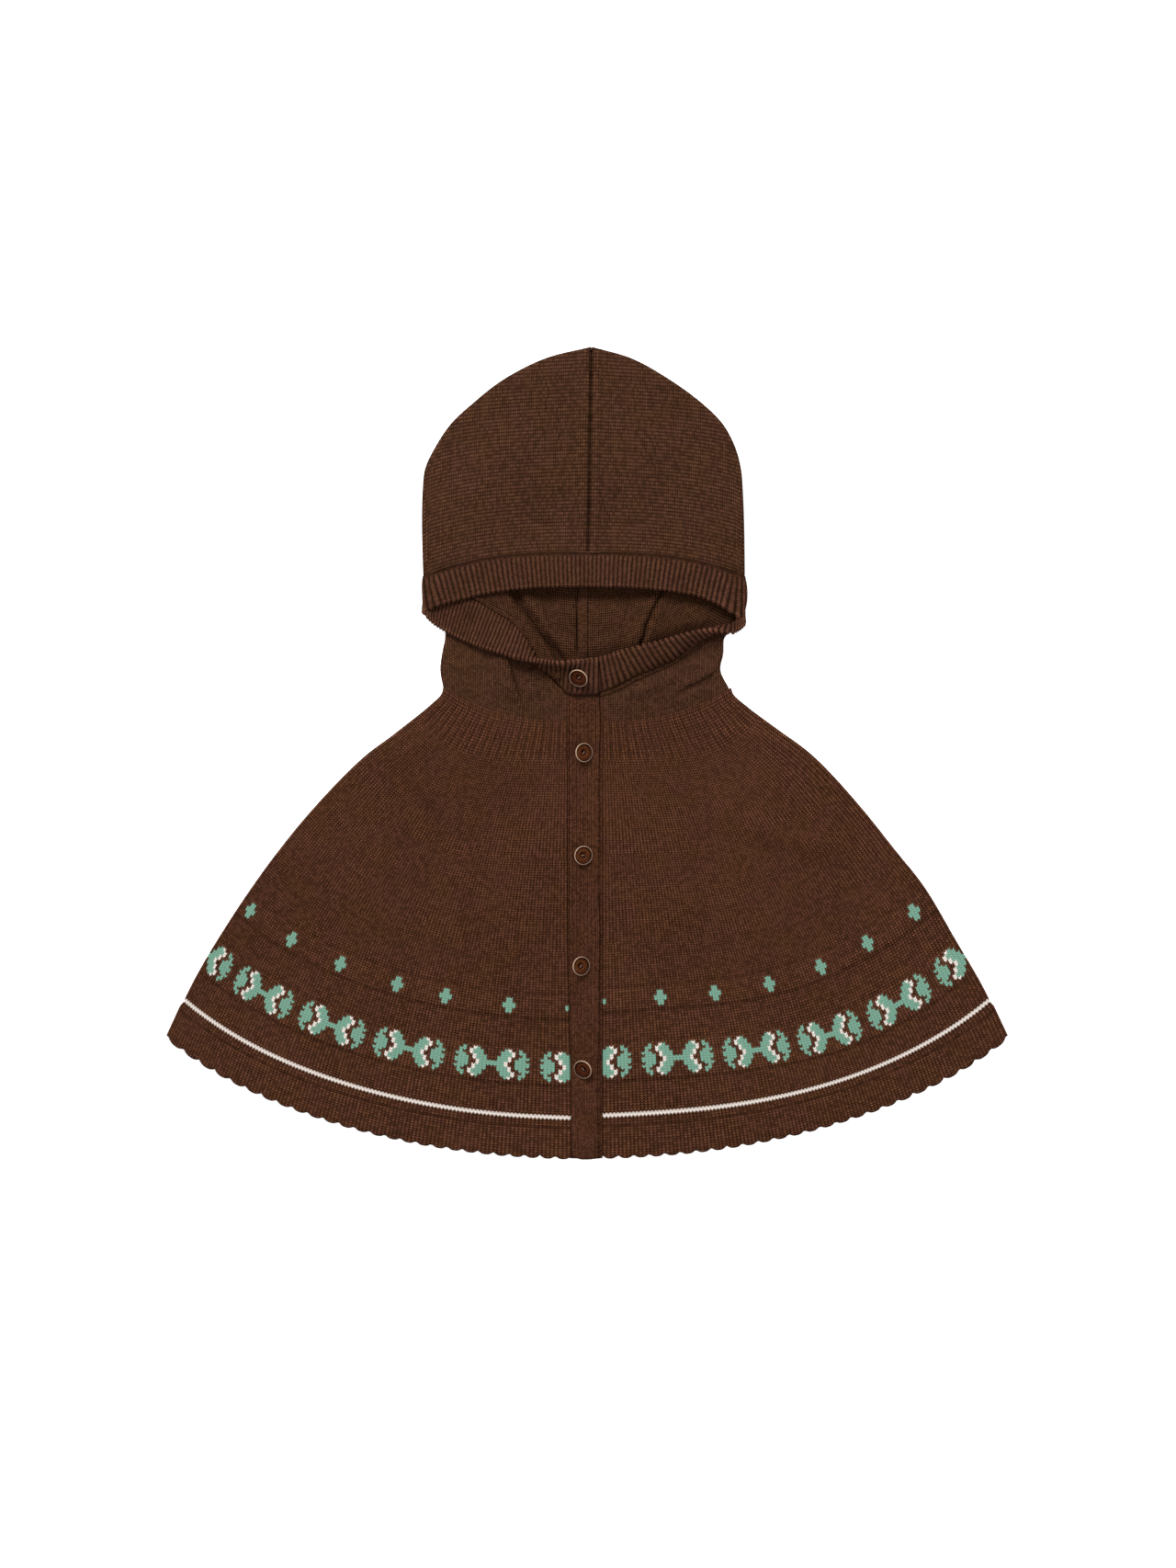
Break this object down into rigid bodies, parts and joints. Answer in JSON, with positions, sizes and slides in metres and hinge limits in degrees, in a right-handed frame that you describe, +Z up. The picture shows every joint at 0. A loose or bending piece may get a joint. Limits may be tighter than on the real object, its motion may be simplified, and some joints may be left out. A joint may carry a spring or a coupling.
{
  "type": "hooded knit cape",
  "caption": "Child's hooded knit cape in brown with a ribbed hood edge, buttoned front, patterned border and scalloped hem, laid flat front up.",
  "frame": {"origin": "centre of the outline, on the surface that the cape lies on", "axes": "+X towards the wearer's left side, +Y from the hem towards the top of the hood, +Z up out of the front"},
  "size_m": [0.666, 0.6435, 0.0171],
  "materials": {
    "knit": "fine plain knit in dark brown wool, with a border in green, white and brown",
    "ribbed_knit": "ribbed knit in the same brown wool",
    "button": "satin, dark brown with a pale rim"
  },
  "bodies": {
    "root": {"cape_back": "knit", "right_front": "knit", "left_front": "knit", "hood_right": "knit", "hood_left": "knit", "button_band": "ribbed_knit", "buttonhole_band": "ribbed_knit", "hood_ribbed_edge": "ribbed_knit", "button_1": "button", "button_2": "button", "button_3": "button", "button_4": "button", "button_5": "button"}
  },
  "joints": []
}
